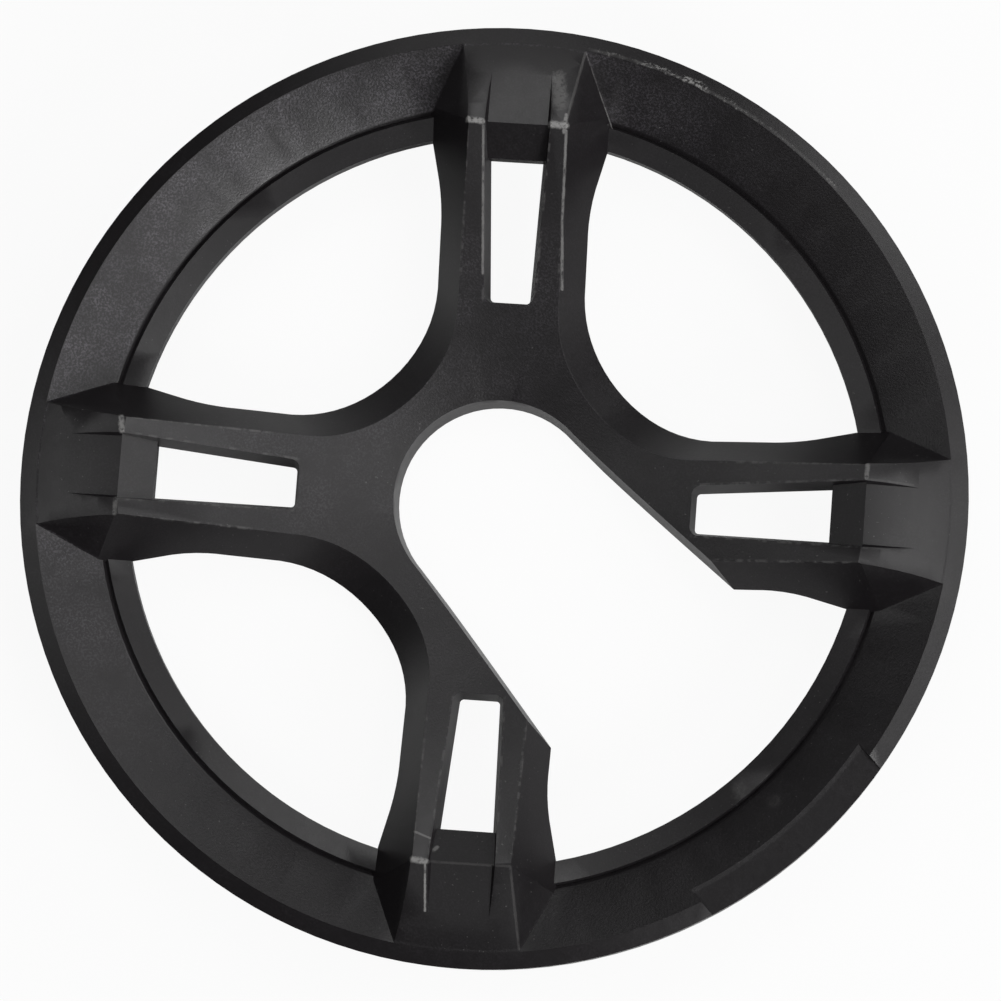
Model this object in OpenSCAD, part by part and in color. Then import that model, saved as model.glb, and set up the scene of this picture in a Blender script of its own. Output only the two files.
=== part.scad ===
// Chainring guard: one moulded shell. Four hollow spokes stand proud of a conical rim,
// dish down to an open hub, and leave a keyhole mouth for the crank arm.
// Millimetres. Z = 0 is the back face of the rim, the spokes lie on X and Y,
// and the mouth opens half way between +X and -Y.

/* [Rim] */
// outer radius over the rim
rim_r = 92.5; // [90:0.5:96]
// height of the outer edge above the back face
rim_edge_z = 9; // [8.5:0.1:9.5]
// lean of the outer wall in towards the back, in degrees
rim_draft = 2; // [0.5:0.5:4]
// radius of the crest, where the outer band meets the inner cone
crest_r = 89.3; // [88.5:0.1:89.8]
// radius at the foot of the inner cone
cone_foot_r = 77.7; // [76.8:0.1:78.5]
// height at the foot of the inner cone
cone_foot_z = 4.1; // [3.6:0.1:4.8]
// width of the groove at the foot of the cone
groove_w = 1.1; // [0.6:0.1:1.4]
// depth of that groove
groove_depth = 0.8; // [0.4:0.1:1.2]
// inner radius of the flat lip
lip_r = 72.3; // [71.5:0.1:73]
// height of the lip at its inner edge
lip_z = 2.8; // [2.2:0.1:3.4]

/* [Spokes] */
// distance from the axis to the ridge, the highest line of a spoke
ridge_r = 72.5; // [71:0.1:74]
// height of the ridge
ridge_z = 14.2; // [13:0.1:15.5]
// radius of the arched ramp from the ridge out to the rim edge
ramp_arc_r = 85; // [60:1:140]
// fall of the spokes from the ridge in to the hub, in degrees
dish_angle = 19.6; // [17:0.1:21]
// width over the two rails at the ridge
spoke_w = 19.4; // [18:0.1:22]
// slope of the sides inside the ridge, in degrees from the axis
side_draft = 35.5; // [31:0.5:38]
// narrowing of the spokes towards the hub, in degrees a side
side_taper = 13.5; // [11:0.1:15]
// slope of the sides outside the ridge, in degrees from the axis
shoulder_draft = 40; // [35:0.5:42]
// narrowing of the spokes from the ridge out to the crest, in degrees a side
shoulder_taper = 3.4; // [1:0.1:4]
// fillet radius where two spokes meet at the hub
root_fillet_r = 28.3; // [24:0.1:31]
// depth of the spokes from the dished face to the back
spoke_depth = 7.2; // [6.4:0.1:7.8]
// outer radius of the hub's flat back
hub_flat_r = 22; // [21:0.5:27]
// height of the spokes' level back inside the rim
back_relief = 2.6; // [1.6:0.1:3]
// radius of the curve between the sloping and the level back
back_blend_r = 30; // [12:1:40]

/* [Recess and slots] */
// width between the rails at the ridge
recess_w = 13; // [11:0.1:14]
// depth of the recess at the ridge
recess_depth = 0.9; // [0.5:0.1:1.3]
// radius where the recess runs out on the ramp
recess_end_r = 83; // [79:0.5:86]
// slope of the recess walls on the ramp, in degrees from the axis
recess_draft = 35; // [10:1:45]
// outer end of the slot
slot_outer_r = 66; // [64:0.1:68]
// height of the recess floor at the slot
slot_sill_z = 9.6; // [8.8:0.1:10.4]
// inner end of the slot
slot_inner_r = 38.5; // [35:0.1:44]
// width of the slot at its inner end
slot_inner_w = 9.9; // [8:0.1:11]
// corner radius at the inner end
slot_corner_r = 1.8; // [1.5:0.1:2.4]
// slope of the slot walls, in degrees from the axis
slot_draft = 11; // [4:0.5:13]
// depth of the wall round the slot
slot_depth = 5.2; // [4.2:0.1:6.4]

/* [Centre opening] */
// radius of the opening at its front edge
bore_r = 20.35; // [19:0.05:21]
// spread of the mouth, in degrees a side
mouth_spread = 3.8; // [2:0.1:5.5]
// slope of its walls, narrowing towards the back, in degrees
bore_draft = 5.5; // [3:0.5:7]

/* [Crank arm clearance] */
// width of the flat across the rim that the crank arm passes over
flat_w = 42.8; // [36:0.2:50]
// height of the flat above the back face
flat_z = 8.6; // [7.6:0.1:8.8]

/* [Back] */
// thickness of the top of the shell
shell_t = 2.6; // [2:0.1:3]
// thickness of its side walls
wall_t = 2.2; // [1.8:0.1:2.6]
// inner radius of the channel behind the rim
channel_r = 79.2; // [78.6:0.1:80.5]
// pitch circle of the screw bosses
boss_pcd = 154; // [153:0.5:156]
// boss diameter
boss_d = 8; // [6.5:0.1:9]
// pilot hole for a self-tapping screw
pilot_d = 2.8; // [2.2:0.1:3.4]
// depth of the pilot hole
pilot_depth = 8; // [6:0.5:9]
// thickness of the ribs that brace the bosses
rib_t = 1.6; // [1.2:0.1:2.4]

/* [Hidden] */
$fn = 180;
guard_colour = "#2d2e30";
spoke_count = 4;
spoke_step = 360 / spoke_count;
window_centre = spoke_step / 2;
mouth_centre = -window_centre;
above = 40;
below = -30;
reach = 1.75 * rim_r;
// the ramp is an arc through the ridge and the rim edge
ramp_run = rim_r - ridge_r;
ramp_fall = ridge_z - rim_edge_z;
ramp_chord = norm([ramp_run, ramp_fall]);
ramp_drop = sqrt(pow(ramp_arc_r, 2) - pow(ramp_chord / 2, 2));
ramp_centre_r = (rim_r + ridge_r) / 2 - ramp_drop * ramp_fall / ramp_chord;
ramp_centre_z = (rim_edge_z + ridge_z) / 2 - ramp_drop * ramp_run / ramp_chord;
crest_z = ramp_z(crest_r);
cone_slope = (crest_z - cone_foot_z) / (crest_r - cone_foot_r);
dish_slope = tan(dish_angle);
rim_base_r = rim_r - rim_edge_z * tan(rim_draft);
hub_front_z = dish_z(bore_r);
hub_back_z = dish_z(hub_flat_r) - spoke_depth;
back_dish_r = ridge_r - (ridge_z - spoke_depth - back_relief) / dish_slope;
back_blend = back_blend_r * tan(dish_angle / 2);
hub_wall_r = bore_r + wall_t;
fillet_over = 0.02;
// the mouth's walls start inside the bore and end in the window, short of the lip
mouth_start = -bore_r * sin(mouth_spread);
mouth_end = lip_r - bore_r / 2;
mouth_lean = atan(tan(bore_draft) * cos(mouth_spread));
roof_drop = shell_t / cos(dish_angle);
recess_floor_z = ridge_z - recess_depth;
recess_tilt = atan((recess_floor_z - ramp_z(recess_end_r)) / (recess_end_r - ridge_r));
slot_cut_r = ridge_r + 1.5;
slot_half_outer = recess_w / 2;
slot_half_inner = slot_inner_w / 2;
boss_top_z = ramp_z(boss_pcd / 2 + boss_d / 2) - shell_t / 3;
rib_foot_z = 1.5;

// height of the ramp at radius r
function ramp_z(r) = ramp_centre_z + sqrt(pow(ramp_arc_r, 2) - pow(r - ramp_centre_r, 2));
// height of the dished spokes and hub at radius r
function dish_z(r) = ridge_z - (ridge_r - r) * dish_slope;
// height of the rim's inner cone at radius r
function cone_z(r) = cone_foot_z + (r - cone_foot_r) * cone_slope;

// The disc before its windows are cut: ramp, ridge and dish over a back that follows the dish and
// curves into a level, with the rim standing lower outside the lip. The curve passes a hair over
// the lines beside it, so that it crosses them.
module body_profile() {
    core_r = bore_r * 0.7;
    level_r = back_dish_r + back_blend;
    intersection() {
        union() {
            difference() {
                polygon([
                    [core_r, dish_z(core_r)], [core_r, hub_back_z], [hub_flat_r, hub_back_z],
                    [back_dish_r - back_blend * cos(dish_angle), back_relief - back_blend * sin(dish_angle)],
                    [level_r, back_relief], [crest_r, back_relief], [crest_r, dish_z(crest_r)]
                ]);
                translate([level_r, back_relief - back_blend_r]) circle(r = back_blend_r + fillet_over);
            }
            polygon([
                [lip_r, 0], [rim_base_r, 0], [rim_r, rim_edge_z], [rim_r, dish_z(rim_r)], [lip_r, lip_z]
            ]);
        }
        ramp_circle(ramp_arc_r);
    }
}

module ramp_circle(r) {
    translate([ramp_centre_r, ramp_centre_z]) circle(r = r, $fn = 720);
}

// All that a window takes away beside a spoke: above the cone and lip, and right through inside them.
module rim_clear() {
    groove_r = cone_foot_r - groove_w;
    rotate_extrude()
        polygon([
            [0, below], [lip_r, below], [lip_r, lip_z], [groove_r, cone_foot_z],
            [groove_r + groove_w / 2, cone_foot_z - groove_depth],
            [cone_foot_r, cone_foot_z], [crest_r, crest_z], [crest_r, above], [0, above]
        ]);
}

// The space between two neighbouring spokes. Both side faces slope and taper, so they meet in a
// leaning line, and the space is a prism along that line, rounded by fillet_r at the hub.
// The rounding passes a hair over the side faces, so that it crosses them.
module spoke_gap(draft, taper, fillet_r, grow = 0) {
    d = tan(draft);
    t = tan(taper);
    lean = atan(sqrt(2) * d / (1 - t));
    half = 90 - acos((d * d - 2 * t) / (1 + t * t + d * d)) / 2;
    apex = sqrt(2) * (spoke_w / 2 - t * ridge_r + d * ridge_z) / (1 - t);
    r = fillet_r + grow;
    arm = [cos(half), sin(half)];
    mirrored = [cos(half), -sin(half)];
    centre = [r / sin(half), 0];
    start = r / tan(half);
    rotate([0, 0, window_centre])
        translate([apex, 0, 0])
            rotate([0, -lean, 0])
                linear_extrude(height = reach, center = true)
                    translate([-grow / sin(half), 0]) {
                        polygon([start * arm, reach * arm, reach * mirrored, start * mirrored, centre]);
                        translate(centre) circle(r = r + fillet_over);
                    }
}

module window_gap(grow = 0) {
    spoke_gap(side_draft, side_taper, root_fillet_r, grow);
    spoke_gap(shoulder_draft, -shoulder_taper, root_fillet_r / 4, grow);
}

// Keyhole for the crank: a drafted bore and a mouth whose walls spread from it.
module crank_opening(grow = 0) {
    r = bore_r + grow;
    h = above - below;
    translate([0, 0, below])
        cylinder(h = h, r1 = r - (hub_front_z - below) * tan(bore_draft),
                 r2 = r + (above - hub_front_z) * tan(bore_draft));
    rotate([0, 0, mouth_centre])
        intersection() {
            translate([mouth_start, -reach / 2, below]) cube([mouth_end - mouth_start, reach, h]);
            mouth_side(r);
            mirror([0, 1, 0]) mouth_side(r);
        }
}

module mouth_side(r) {
    translate([0, r, hub_front_z])
        rotate([0, 0, mouth_spread])
            rotate([-mouth_lean, 0, 0])
                translate([-reach, -reach, -reach]) cube([2 * reach, reach, 2 * reach]);
}

// One drafted corner of a slot. Its radius is true where it meets the dished face.
module slot_corner(u, w, r) {
    low = slot_depth + 2;
    high = 3;
    z = dish_z(u);
    translate([u, w, z - low])
        cylinder(h = low + high, r1 = max(0.1, r - low * tan(slot_draft)),
                 r2 = r + high * tan(slot_draft), $fn = 32);
}

// Slot between the rails. It goes right through as far as the sill, and over the sill
// it only clears the recess floor that climbs to the ridge.
module spoke_slot() {
    intersection() {
        hull()
            for (side = [-1, 1]) {
                slot_corner(slot_inner_r + slot_corner_r, side * (slot_half_inner - slot_corner_r),
                            slot_corner_r);
                slot_corner(slot_cut_r, side * (slot_half_outer - slot_corner_r), slot_corner_r);
            }
        across_spoke(spoke_w)
            polygon([
                [0, below], [slot_outer_r, below], [slot_outer_r, slot_sill_z],
                [ridge_r, recess_floor_z], [ridge_r, above], [0, above]
            ]);
    }
}

// Recess between the rails on the ramp, flush at its outer end and deepest at the ridge.
module ramp_recess() {
    floor_half = recess_w / 2 - recess_depth * tan(recess_draft);
    open_h = 4;
    over = 2;
    length = (recess_end_r - ridge_r) / cos(recess_tilt) + 2 * over;
    translate([ridge_r, 0, recess_floor_z])
        rotate([0, recess_tilt, 0])
            translate([-over, 0, 0]) rotate([90, 0, 90])
                linear_extrude(height = length)
                    polygon([
                        [-floor_half, 0], [floor_half, 0],
                        [floor_half + open_h * tan(recess_draft), open_h],
                        [-floor_half - open_h * tan(recess_draft), open_h]
                    ]);
}

// Stands a side view, radius against height, across a spoke.
module across_spoke(width) {
    rotate([90, 0, 0])
        linear_extrude(height = width, center = true)
            children();
}

// Flat across the rim in line with the mouth, for the crank arm to pass over.
module arm_flat() {
    rotate([0, 0, mouth_centre])
        translate([lip_r, -flat_w / 2, flat_z]) cube([rim_r, flat_w, above]);
}

// Hollow of the spokes and hub, closed in by the walls of the windows, the slots and the bore.
module shell_hollow() {
    difference() {
        rotate_extrude()
            intersection() {
                polygon([
                    [hub_wall_r, below], [hub_wall_r, dish_z(hub_wall_r) - roof_drop],
                    [ridge_r, ridge_z - roof_drop], [ridge_r, above],
                    [rim_r - shell_t, above], [rim_base_r - shell_t, below]
                ]);
                ramp_circle(ramp_arc_r - shell_t);
            }
        crank_opening(wall_t);
        for (i = [0 : spoke_count - 1])
            rotate([0, 0, i * spoke_step]) {
                window_gap(wall_t);
                slot_wall();
                boss();
            }
    }
}

// Wall that carries the slot and the recess floor, kept out of the hollow.
module slot_wall() {
    end_t = 4;
    intersection() {
        linear_extrude(height = 2 * above, center = true)
            polygon([
                [slot_inner_r - wall_t, -slot_half_inner - wall_t / 2],
                [slot_outer_r + end_t, -slot_half_outer - wall_t / 2],
                [slot_outer_r + end_t, slot_half_outer + wall_t / 2],
                [slot_inner_r - wall_t, slot_half_inner + wall_t / 2]
            ]);
        across_spoke(2 * spoke_w)
            polygon([
                [0, dish_z(0) - slot_depth], [rim_r, dish_z(rim_r) - slot_depth],
                [rim_r, above], [0, above]
            ]);
    }
}

// Screw boss under the ramp with a rib to each side wall and one out to the rim.
module boss() {
    boss_r = boss_pcd / 2;
    translate([boss_r, 0, 0]) cylinder(h = boss_top_z, d = boss_d);
    translate([boss_r - rib_t / 2, -spoke_w, rib_foot_z]) cube([rib_t, 2 * spoke_w, above]);
    translate([boss_r, -rib_t / 2, rib_foot_z]) cube([rim_r - boss_r, rib_t, above]);
}

// Channel behind the rim's inner cone, all the way round.
module rim_channel() {
    drop = shell_t * norm([1, cone_slope]);
    roof_z = crest_z - drop;
    rotate_extrude()
        intersection() {
            polygon([
                [channel_r, below], [channel_r, cone_z(channel_r) - drop], [crest_r, roof_z],
                [rim_r, roof_z], [rim_r, below]
            ]);
            polygon([
                [0, below], [rim_base_r - shell_t, below], [rim_r - shell_t, roof_z],
                [rim_r - shell_t, above], [0, above]
            ]);
        }
}

module pilot_holes() {
    for (i = [0 : spoke_count - 1])
        rotate([0, 0, i * spoke_step])
            translate([boss_pcd / 2, 0, -1]) cylinder(h = pilot_depth + 1, d = pilot_d);
}

module guard() {
    color(guard_colour)
        difference() {
            rotate_extrude() body_profile();
            for (i = [0 : spoke_count - 1])
                rotate([0, 0, i * spoke_step]) {
                    intersection() {
                        rim_clear();
                        window_gap();
                    }
                    spoke_slot();
                    ramp_recess();
                }
            crank_opening();
            arm_flat();
            shell_hollow();
            difference() {
                rim_channel();
                for (i = [0 : spoke_count - 1])
                    rotate([0, 0, i * spoke_step]) boss();
            }
            pilot_holes();
        }
}

guard();
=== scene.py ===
# Looks for the chainring guard: rounded shell, moulded plastic with grain, dust haze with painted sheen
# towards the upper left, rubbed edges and painted edge highlights.
import bmesh
import bpy
import math
from mathutils import Matrix, Vector


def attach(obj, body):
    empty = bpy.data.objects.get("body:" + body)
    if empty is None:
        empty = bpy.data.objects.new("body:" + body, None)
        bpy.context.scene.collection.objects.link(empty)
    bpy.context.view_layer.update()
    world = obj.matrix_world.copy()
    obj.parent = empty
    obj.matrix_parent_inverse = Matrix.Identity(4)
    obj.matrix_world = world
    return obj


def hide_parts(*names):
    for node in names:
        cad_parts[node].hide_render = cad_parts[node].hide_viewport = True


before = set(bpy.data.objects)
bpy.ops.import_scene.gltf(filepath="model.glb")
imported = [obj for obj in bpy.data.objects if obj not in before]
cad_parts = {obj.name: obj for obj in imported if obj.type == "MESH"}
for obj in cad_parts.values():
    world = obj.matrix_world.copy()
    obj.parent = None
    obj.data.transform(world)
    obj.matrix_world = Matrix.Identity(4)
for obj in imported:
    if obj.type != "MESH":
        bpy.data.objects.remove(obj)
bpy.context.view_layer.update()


# one value of a surface pattern; sums and products of such values add their own Math nodes
class Wire:
    def __init__(self, tree, socket=None):
        self.tree = tree
        self.socket = socket

    # adds any node: its type, its settings, then the values or wires of its sockets
    def put(self, kind, settings=None, sockets=None, take=0):
        made = self.tree.nodes.new(kind)
        for name, value in (settings or {}).items():
            setattr(made, name, value)
        for key, value in (sockets or {}).items():
            if isinstance(value, Wire):
                self.tree.links.new(value.socket, made.inputs[key])
            else:
                made.inputs[key].default_value = value
        return Wire(self.tree, made.outputs[take])

    def maths(self, operation, *values):
        return self.put("ShaderNodeMath", {"operation": operation}, dict(enumerate(values)))

    def vector(self, operation, sockets, take=0):
        return self.put("ShaderNodeVectorMath", {"operation": operation}, sockets, take)

    def __add__(self, other):
        return self.maths("ADD", self, other)

    def __radd__(self, other):
        return self.maths("ADD", other, self)

    def __sub__(self, other):
        return self.maths("SUBTRACT", self, other)

    def __rsub__(self, other):
        return self.maths("SUBTRACT", other, self)

    def __mul__(self, other):
        return self.maths("MULTIPLY", self, other)

    def __rmul__(self, other):
        return self.maths("MULTIPLY", other, self)

    def __abs__(self):
        return self.maths("ABSOLUTE", self)

    def atLeast(self, other):
        return self.maths("MAXIMUM", self, other)

    def atMost(self, other):
        return self.maths("MINIMUM", self, other)

    # 0 below low and top above high, smooth between; turned round when low is the larger
    def rise(self, low, high, top=1.0):
        return self.put("ShaderNodeMapRange", {"interpolation_type": "SMOOTHSTEP"},
                        {"Value": self, "From Min": low, "From Max": high, "To Min": 0.0, "To Max": top})

    # 1 from low to high and 0 outside, with soft ends
    def band(self, low, high, soft):
        return self.rise(low - soft, low + soft) * self.rise(high + soft, high - soft)

    # mixes or multiplies two colours, by as much as this value says
    def colours(self, blend, first, second):
        full = [c if isinstance(c, Wire) else (*c, 1.0) for c in (first, second)]
        return self.put("ShaderNodeMix", {"data_type": "RGBA", "blend_type": blend},
                        {0: self, 6: full[0], 7: full[1]}, take=2)


# the strongest of several marks, at every point
def strongest(marks):
    top = marks[0]
    for mark in marks[1:]:
        top = top.atLeast(mark)
    return top


# the solid's own sizes that the surface patterns follow, in mm
form = {
    "crestR": 89.3, "crestZ": 10.19,        # where the cone meets the outer band
    "coneFootR": 77.7, "coneFootZ": 4.1,
    "ridgeR": 72.5, "ridgeZ": 14.2,         # where ramp and dish meet on a spoke
    "dishAngle": 19.6,                      # degrees
    "railEdge": 9.75,                       # outer edge of a rail, from the spoke's middle
    "slotInnerR": 38.5, "slotInnerHalf": 5.0, "slotSpread": 0.0457,     # a slot widens outwards
}

# noises that break the patterns up: size in mm, detail, roughness, shift
noises = {
    "fine": (0.42, 3.0, 0.6, (0, 0, 0)),
    "tiny": (0.62, 2.0, 0.6, (2, 9, 0)),
    "flecks": (0.75, 3.0, 0.65, (0, 0, 0)),
    "medium": (1.6, 3.0, 0.55, (0, 0, 0)),
    "cloud": (9.0, 4.0, 0.6, (4, 7, 1)),
    "broad": (22.0, 3.0, 0.5, (0, 0, 0)),
    "dots": (0.55, 1.0, 0.4, (31, 5, 2)),
}

plastic = {
    "colour": (0.0102, 0.0088, 0.0098),      # charcoal
    "dustAndSheenColour": (0.108, 0.100, 0.112),     # where the grain is hazed with dust, and painted sheen towards the upper left
    "dustAndSheenStrength": 0.9,
    "satinHaze": 0.09,          # how much of that haze the smooth faces have
    "sheenAcross": (-5, 95),     # mm from the middle towards the upper left, over which the painted sheen thickens
    "deepShare": (0.80, 0.80, 0.82),        # the darker clouds in the colour
    "wornAndHighlightColour": (0.30, 0.295, 0.29),       # rubbed pale, and painted highlight
    "dustColour": (0.16, 0.155, 0.15),
    "roughGrain": 0.40,
    "roughSatin": 0.32,
    "roughPatches": 0.10,       # how far roughness wanders from place to place
    "roughClouds": 0.08,
    "roughWorn": 0.15,          # added where the surface is rubbed or painted with a highlight
    "grainDepth": 0.000060,     # metres
    "hubGrain": 0.85,           # grain of the hub and of the spokes, set against the cone's
    "spokeGrain": 0.25,
    "smoothGrain": 0.2,         # what is left of the grain on the smooth faces
    "specular": 0.5,
}

# rubbed and scratched places, and painted highlights along some edges and on the crest
wearAndHighlights = {
    # along lines: from and to in mm, half width, strength; grouped by the size of the breaks in them
    "streaks": [
        {"breakSize": 0.8, "shift": (-9.6, 72.6, 0), "lines": [
            ((-9.6, 72.6), (-7.0, 72.4), 0.85, 0.95),       # ridge corners of the top spoke
            ((6.7, 72.6), (9.4, 72.5), 0.95, 1.0),
            ((9.2, 71.2), (9.4, 74.6), 0.5, 0.7),
            ((7.2, 82.4), (7.9, 77.0), 1.9, 0.26),          # scuff on its ramp
            ((-72.9, 9.4), (-72.5, 6.9), 0.75, 0.75),       # ridge corners of the left spoke
            ((-72.6, -6.6), (-72.6, -9.4), 0.6, 0.35),
            ((72.4, 7.0), (72.5, 9.4), 0.6, 0.35),          # of the right one
            ((-9.5, -72.4), (-6.9, -72.7), 0.8, 0.80),      # and of the bottom one
            ((-5.6, -70.3), (-5.1, -69.7), 0.55, 0.50),
        ]},
        {"breakSize": 2.1, "shift": (-7.0, -72.8, 0), "lines": [
            ((12.1, 88.2), (15.0, 81.4), 0.16, 0.22),       # painted highlight along the foot of the top spoke's side face
            ((15.0, 81.4), (18.0, 74.6), 0.18, 0.40),
            ((-7.0, -72.8), (-6.45, -82.0), 0.30, 0.75),    # scratch down the bottom spoke's ramp
            ((-9.7, -67.0), (-6.5, -68.1), 0.28, 0.45),
            ((72.7, 6.7), (81.5, 6.4), 0.26, 0.08),         # painted highlights along the recess edges on the right spoke's ramp
            ((72.7, -6.7), (81.0, -6.4), 0.26, 0.05),
        ]},
        {"breakSize": 3.0, "shift": (-6.65, 71.5, 0), "lines": [
            ((-6.65, 71.5), (-5.35, 44.0), 0.34, 0.55),     # rubbing and painted highlight along the inner edge of the top spoke's left rail
            ((9.65, 71.5), (9.75, 55.0), 0.36, 0.60),       # and outer edge of its right rail
            ((9.75, 55.0), (10.4, 42.0), 0.36, 0.50),
            ((9.5, 73.0), (12.0, 88.0), 0.34, 0.16),        # painted highlight where its ramp meets the side face
            ((-6.9, -72.6), (9.3, -72.5), 0.34, 0.10),      # painted highlight along the ridge of the bottom spoke
            ((9.4, -72.6), (12.0, -88.0), 0.34, 0.11),      # and where its ramp meets the side face, also painted highlight
        ]},
    ],
    # dusty spots low on the right of the rim: middle, radius, strength
    "spots": [((52.0, -54.2), 2.6, 0.16), ((58.9, -55.7), 1.9, 0.18), ((47.4, -50.7), 1.6, 0.10),
              ((51.8, -51.3), 1.3, 0.12)],
    # scuffs on the crest: degrees round the rim, half width in degrees, strength
    "crest": [(68.0, 3.0, 1.0), (73.0, 4.5, 0.66), (79.0, 4.0, 0.34), (62.0, 5.0, 0.42),
              (53.0, 10.0, 0.22), (46.5, 1.4, 0.44)],
    "crestFrom": 0.15, "crestWidth": 0.5,   # mm outside the crest, and how wide the scuffs are there
    "crestSpread": 0.7,         # how much wider where they are strongest
    "crestStrength": 0.85,
    "crestHighlight": 0.45,          # a painted highlight line along the crest's rounded edge, mm outside the crest
    "crestHighlightStrength": 0.16,
    "crestLow": (8.0, 8.8),     # heights over which the scuffs begin
    "railStrength": 0.16,       # faint rubbing and painted highlight along the rails' edges
    "dotStrength": 0.20,        # stray pale specks
}


# where each point of the surface lies, in mm, measured along the guard's own shape
def surfacePlaces(tree):
    metres = Wire(tree).put("ShaderNodeTexCoord", take=3)       # object coordinates
    mm = metres.vector("SCALE", {0: metres, "Scale": 1000.0})
    axes = mm.put("ShaderNodeSeparateXYZ", None, {0: mm}).socket.node.outputs
    x, y, z = [Wire(tree, axis) for axis in axes]
    square = x * x + y * y
    r = square.maths("SQRT", square)
    # heights of the cone and of the dish on the axis, were they carried on to it
    coneSlope = (form["crestZ"] - form["coneFootZ"]) / (form["crestR"] - form["coneFootR"])
    coneTip = form["coneFootZ"] - form["coneFootR"] * coneSlope
    dishSlope = math.tan(math.radians(form["dishAngle"]))
    dishTip = form["ridgeZ"] - form["ridgeR"] * dishSlope
    at = {
        "mm": mm, "z": z, "r": r,
        "flat": mm.vector("MULTIPLY", {0: mm, 1: (1.0, 1.0, 0.0)}),
        "turn": y.maths("ARCTAN2", y, x) * math.degrees(1),
        "along": abs(x).atLeast(abs(y)),        # distance out along the nearest spoke
        "across": abs(x).atMost(abs(y)),        # distance from that spoke's middle line
        "upperLeft": (y - x) * math.sqrt(0.5),
        "aboveCone": z - r.maths("MULTIPLY_ADD", r, coneSlope, coneTip),
        "aboveDish": z - r.maths("MULTIPLY_ADD", r, dishSlope, dishTip),
    }
    at["raised"] = at["aboveCone"].rise(-0.6, -0.1)     # marks stay off the walls and the back
    for name, values in noises.items():
        at[name] = noise(at, *values)
    return at


def noise(at, size, detail, rough, shift):
    place = at["mm"].vector("MULTIPLY_ADD", {0: at["mm"], 1: (1 / size,) * 3, 2: shift})
    return place.put("ShaderNodeTexNoise", None,
                     {"Vector": place, "Scale": 1.0, "Detail": detail, "Roughness": rough})


# pale marks along straight lines, some rubbed wear and some painted highlight, ragged at the edges and
# broken up along their length
def streakMarks(at, groups):
    wobble = at["flecks"] - 0.5
    broken = []
    for group in groups:
        marks = []
        for lineStart, lineEnd, half, strength in group["lines"]:
            dx, dy = lineEnd[0] - lineStart[0], lineEnd[1] - lineStart[1]
            square = dx * dx + dy * dy
            off = at["flat"].vector("SUBTRACT", {0: at["flat"], 1: (*lineStart, 0.0)})
            share = off.vector("DOT_PRODUCT", {0: off, 1: (dx / square, dy / square, 0.0)}, take=1)
            share = share.put("ShaderNodeClamp", None, {0: share})
            near = share.vector("SCALE", {0: (dx, dy, 0.0), "Scale": share})
            away = off.vector("DISTANCE", {0: off, 1: near}, take=1)
            ragged = away.maths("MULTIPLY_ADD", away, 1 / half, wobble)     # 1 at the half width
            marks.append(ragged.rise(1.0, 0.35, strength))
        breaks = noise(at, group["breakSize"], 2.0, 0.6, group["shift"]) * 0.6 + at["flecks"] * 0.4
        broken.append(strongest(marks) * breaks.rise(0.30, 0.52))
    return strongest(broken)


# the crest of the rim: flecks where it is scuffed, over a painted highlight line along its rounded edge
def crestMarks(at, marks):
    worn = strongest([abs(at["turn"] - middle).rise(half, half * 0.3, strength)
                      for middle, half, strength in marks["crest"]])
    high = at["z"].rise(*marks["crestLow"])
    inner = form["crestR"] + marks["crestFrom"]
    outer = inner + marks["crestWidth"] + worn * marks["crestSpread"]
    onCrest = (at["r"] + (at["medium"] - 0.5) * 1.2).band(inner, outer, 0.25) * high
    flecked = at["tiny"].rise(0.60 - worn * 0.16, 0.70 - worn * 0.16)
    scuff = onCrest * (worn * 0.7 + 0.3) * worn.rise(0.02, 0.15) * flecked
    # painted highlight: a thin pale line along the crest's rounded edge
    paintedHighlight = abs(at["r"] - (form["crestR"] + marks["crestHighlight"])).rise(0.42, 0.12) * high
    paintedHighlight = paintedHighlight * worn.rise(0.0, 0.35) * (at["medium"].rise(0.3, 0.6) * 0.6 + 0.4)
    return (scuff * marks["crestStrength"]).atLeast(paintedHighlight * marks["crestHighlightStrength"])


# faint rubbing and painted highlight along both edges of every rail
def railMarks(at, onDish, strength):
    outer = abs(at["across"] - form["railEdge"]).rise(0.5, 0.15) * at["along"].band(44, 72.3, 1.0)
    slotEdge = (at["along"] - form["slotInnerR"]) * form["slotSpread"]
    inner = abs(at["across"] - slotEdge - form["slotInnerHalf"]).rise(0.45, 0.12) \
        * at["along"].band(39, 72.3, 0.5)
    return (outer + inner) * onDish * at["medium"].rise(0.45, 0.62) * strength


def dotMarks(at, strength):
    return at["dots"].rise(0.742, 0.775) * at["broad"].rise(0.44, 0.62) * at["raised"] * strength


def dustMarks(at, spots):
    ragged = (at["medium"] - 0.5) * 3.0
    marks = []
    for centre, radius, strength in spots:
        away = at["flat"].vector("DISTANCE", {0: at["flat"], 1: (*centre, 0.0)}, take=1)
        marks.append((away + ragged).rise(radius, 0, strength))
    return strongest(marks) * (at["flecks"].rise(0.38, 0.62) * 0.7 + 0.3) * at["raised"]


# haze of dust that sits in the grain, in soft clouds; its thickening towards the upper left is painted
# sheen, where light falls brightest on the grain
def dustAndSheenCover(at, grain, look):
    speck = at["fine"].rise(0.44, 0.64)
    # painted sheen: the pale haze grows towards the upper left, where light falls brightest
    sheenSide = at["upperLeft"].rise(*look["sheenAcross"]) * 0.88 + 0.12
    inGrain = grain * (0.12 + speck * 0.88) * sheenSide
    return inGrain.atLeast(speck * look["satinHaze"]) * at["cloud"].rise(0.22, 0.72)


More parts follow.
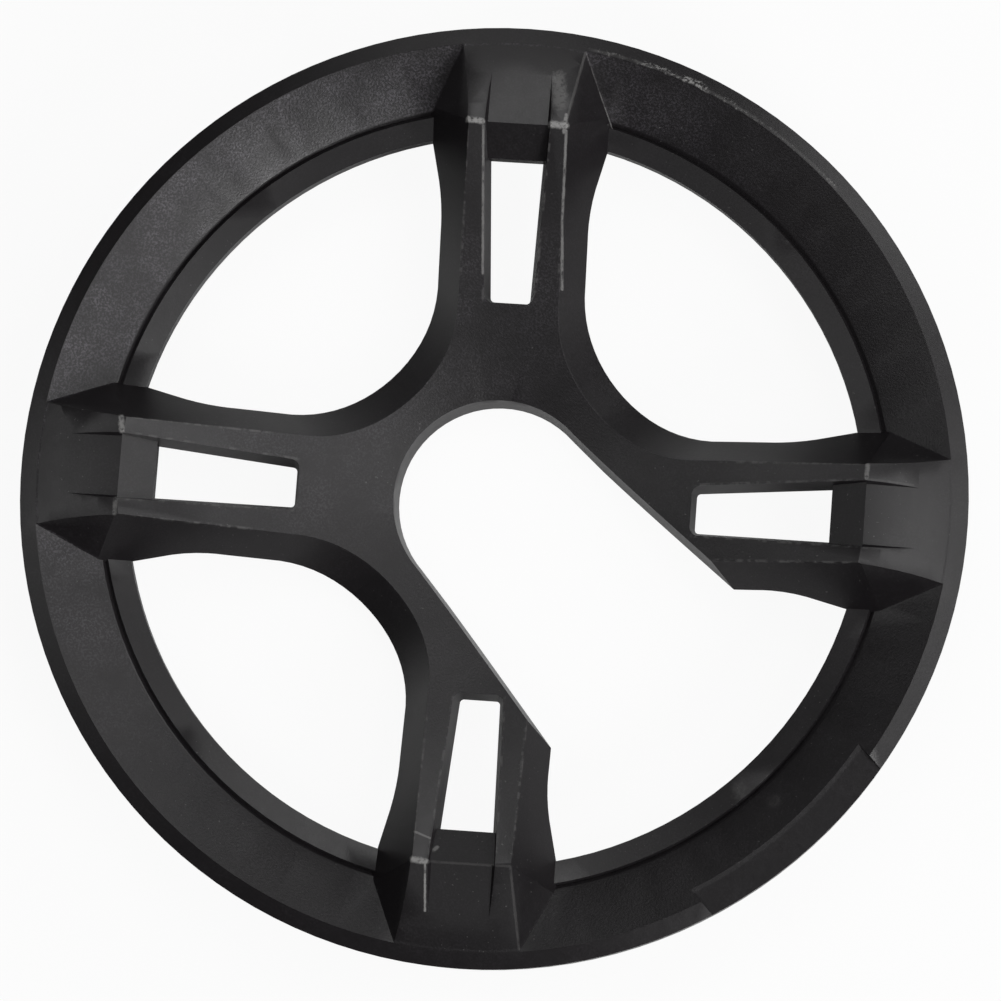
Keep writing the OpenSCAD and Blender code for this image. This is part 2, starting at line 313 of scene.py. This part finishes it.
def plasticMaterial(name, look, marks):
    material = bpy.data.materials.new(name)
    material.use_nodes = True
    tree = material.node_tree
    surface = tree.nodes["Principled BSDF"]
    at = surfacePlaces(tree)

    # grained on the cone and the hub, faintly on the spokes
    onCone = at["aboveCone"].band(-0.45, 0.45, 0.15) * at["r"].band(77.9, 89.2, 0.15)
    onDish = at["aboveDish"].band(-0.30, 0.5, 0.15) * at["r"].rise(73.0, 70.0)
    onHub = onDish * at["r"].rise(60.0, 38.0)
    grain = (onCone + onHub * look["hubGrain"] + onDish * look["spokeGrain"]).atMost(1.0)

    # rubbed wear and painted highlights on edges and the crest, together
    rubbedOrHighlit = strongest([
        streakMarks(at, marks["streaks"]) * at["raised"],
        crestMarks(at, marks),
        railMarks(at, onDish, marks["railStrength"]),
        dotMarks(at, marks["dotStrength"]),
    ])

    # pale dust in the grain, and painted sheen towards the upper left
    dustAndSheen = dustAndSheenCover(at, grain, look) * look["dustAndSheenStrength"]
    base = dustAndSheen.colours("MIX", look["colour"], look["dustAndSheenColour"])
    deep = at["broad"].rise(0.35, 0.68)
    base = deep.colours("MULTIPLY", base, look["deepShare"])
    base = dustMarks(at, marks["spots"]).colours("MIX", base, look["dustColour"])
    # rubbed wear, and painted highlights on edges and the crest, mixed in pale
    base = rubbedOrHighlit.colours("MIX", base, look["wornAndHighlightColour"])

    rough = grain * (look["roughGrain"] - look["roughSatin"]) + look["roughSatin"]
    rough = rough + (at["medium"] - 0.5) * look["roughPatches"] + (at["broad"] - 0.5) * look["roughClouds"]
    rough = rough + rubbedOrHighlit * look["roughWorn"]

    height = (at["fine"] - 0.5) * (grain * (1 - look["smoothGrain"]) + look["smoothGrain"])
    bump = height.put("ShaderNodeBump", None,
                      {"Strength": 1.0, "Distance": look["grainDepth"], "Height": height})

    tree.links.new(base.socket, surface.inputs["Base Color"])
    tree.links.new(rough.socket, surface.inputs["Roughness"])
    tree.links.new(bump.socket, surface.inputs["Normal"])
    surface.inputs["Specular IOR Level"].default_value = look["specular"]
    print("plastic made,", len(tree.nodes), "nodes")
    return material


shell = {
    "edgeWidth": 0.00035,       # rounding of the moulded edges
    "edgeSegments": 2,
    "edgeAngle": 24,            # edges sharper than this are rounded, in degrees
    "mergeWithin": 2e-6,
    "flatWithin": 0.6,          # faces that lie this close to one plane are joined, in degrees
}


# copy of the solid with its doubles merged and its moulded edges rounded
def makeShell(values):
    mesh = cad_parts["guard"].data.copy()
    piece = bpy.data.objects.new("guardShell", mesh)
    bpy.context.scene.collection.objects.link(piece)
    work = bmesh.new()
    work.from_mesh(mesh)
    bmesh.ops.remove_doubles(work, verts=work.verts, dist=values["mergeWithin"])
    bmesh.ops.dissolve_limit(work, angle_limit=math.radians(values["flatWithin"]),
                             verts=work.verts, edges=work.edges)
    work.to_mesh(mesh)
    work.free()
    mesh.materials.clear()
    mesh.materials.append(plasticMaterial("mouldedPlastic", plastic, wearAndHighlights))
    edge = piece.modifiers.new("softEdges", "BEVEL")
    edge.width = values["edgeWidth"]
    edge.segments = values["edgeSegments"]
    edge.limit_method = "ANGLE"
    edge.angle_limit = math.radians(values["edgeAngle"])
    edge.harden_normals = True
    for polygon in mesh.polygons:
        polygon.use_smooth = True
    mesh.set_sharp_from_angle(angle=math.radians(values["edgeAngle"]))
    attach(piece, "root")
    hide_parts("guard")
    print("shell made,", len(mesh.polygons), "faces before rounding")


# metres and degrees: the camera looks down the axis, tilted right and down, then slid to frame it
camera = {
    "distance": 0.9742, "target": 0.009, "slideX": 0.001751, "slideY": 0.001517,
    "turn": 4.02, "tiltRight": 3.73, "tiltDown": 7.92,
    "lens": 180.1, "sensor": 36.0,      # mm
}


def makeCamera(values):
    turn = math.radians(values["turn"])
    imageRight = Vector((math.cos(turn), math.sin(turn), 0))
    imageDown = Vector((math.sin(turn), -math.cos(turn), 0))
    towards = (imageRight * math.tan(math.radians(values["tiltRight"]))
               + imageDown * math.tan(math.radians(values["tiltDown"])) + Vector((0, 0, 1))).normalized()
    tilt = Vector((0, 0, 1)).rotation_difference(towards)
    right = tilt @ imageRight
    down = tilt @ imageDown
    place = Vector((0, 0, values["target"])) + right * values["slideX"] + down * values["slideY"] \
        + towards * values["distance"]
    data = bpy.data.cameras.new("camera")
    data.lens = values["lens"]
    data.sensor_width = values["sensor"]
    data.sensor_fit = "AUTO"
    data.clip_start = 0.05
    data.clip_end = 10.0
    view = bpy.data.objects.new("camera", data)
    axes = Matrix((right, -down, towards)).transposed()
    view.matrix_world = Matrix.Translation(place) @ axes.to_4x4()
    bpy.context.scene.collection.objects.link(view)
    bpy.context.scene.camera = view
    print("camera placed")


studio = {
    "world": 0.03,
    "seenSky": 0.97,        # what the camera sees of the world
    "floorZ": -0.0113,
    "floorSize": 1.6,
    "floorColour": (0.86, 0.86, 0.86),
    "floorRough": 0.9,
    "floorSpecular": 0.1,
    "seenWhite": 0.93,      # share of the floor's white that the camera sees unshaded
    "lampDistance": 1.1,
    # name, direction the light comes from (azimuth, elevation), size, watts
    "lamps": [
        ("keyRight", -46, 26, 0.45, 7.2),
        ("highRight", -2, 60, 0.6, 2.2),
        ("right", 14, 32, 0.5, 1.15),
        ("corner", 50, 33, 0.5, 1.3),
        ("top", 88, 60, 0.5, 1.5),
        ("topLow", 100, 34, 0.5, 0.45),
        ("leftHigh", 185, 60, 0.6, 0.6),
        ("left", 176, 44, 0.5, 0.62),
        ("bottomHigh", 262, 70, 0.5, 0.35),
    ],
}


# white to the camera, and faint light on the object
def makeWorld(values):
    world = bpy.data.worlds.new("studioWorld")
    world.use_nodes = True
    tree = world.node_tree
    sky = tree.nodes["Background"]
    sky.inputs["Color"].default_value = (1, 1, 1, 1)
    cameraRay = Wire(tree).put("ShaderNodeLightPath")
    strength = cameraRay * (values["seenSky"] - values["world"]) + values["world"]
    tree.links.new(strength.socket, sky.inputs["Strength"])
    bpy.context.scene.world = world


def makeLamps(values):
    for name, azimuth, elevation, size, watts in values["lamps"]:
        a = math.radians(azimuth)
        e = math.radians(elevation)
        data = bpy.data.lights.new(name, "AREA")
        data.shape = "DISK"
        data.size = size
        data.energy = watts
        lamp = bpy.data.objects.new(name, data)
        place = Vector((math.cos(a) * math.cos(e), math.sin(a) * math.cos(e), math.sin(e))) \
            * values["lampDistance"]
        facing = place.to_track_quat("Z", "Y").to_matrix().to_4x4()
        lamp.matrix_world = Matrix.Translation(place) @ facing
        bpy.context.scene.collection.objects.link(lamp)


# pale floor that keeps the guard's shadow and is nearly white to the camera
def makeFloor(values):
    half = values["floorSize"] / 2
    corners = [(-half, -half), (half, -half), (half, half), (-half, half)]
    mesh = bpy.data.meshes.new("floor")
    mesh.from_pydata([(x, y, values["floorZ"]) for x, y in corners], [], [(0, 1, 2, 3)])
    floor = bpy.data.objects.new("floor", mesh)
    bpy.context.scene.collection.objects.link(floor)
    material = bpy.data.materials.new("paleFloor")
    material.use_nodes = True
    tree = material.node_tree
    surface = tree.nodes["Principled BSDF"]
    surface.inputs["Base Color"].default_value = (*values["floorColour"], 1)
    surface.inputs["Roughness"].default_value = values["floorRough"]
    surface.inputs["Specular IOR Level"].default_value = values["floorSpecular"]
    seen = Wire(tree).put("ShaderNodeLightPath") * values["seenWhite"]
    white = seen.put("ShaderNodeEmission", None, {"Color": (1, 1, 1, 1), "Strength": 1.0})
    mixed = seen.put("ShaderNodeMixShader", None, {0: seen, 1: Wire(tree, surface.outputs[0]), 2: white})
    tree.links.new(mixed.socket, tree.nodes["Material Output"].inputs["Surface"])
    mesh.materials.append(material)


makeShell(shell)
makeCamera(camera)
makeWorld(studio)
makeLamps(studio)
makeFloor(studio)
print("studio made")
bpy.context.scene.view_settings.view_transform = "Standard"
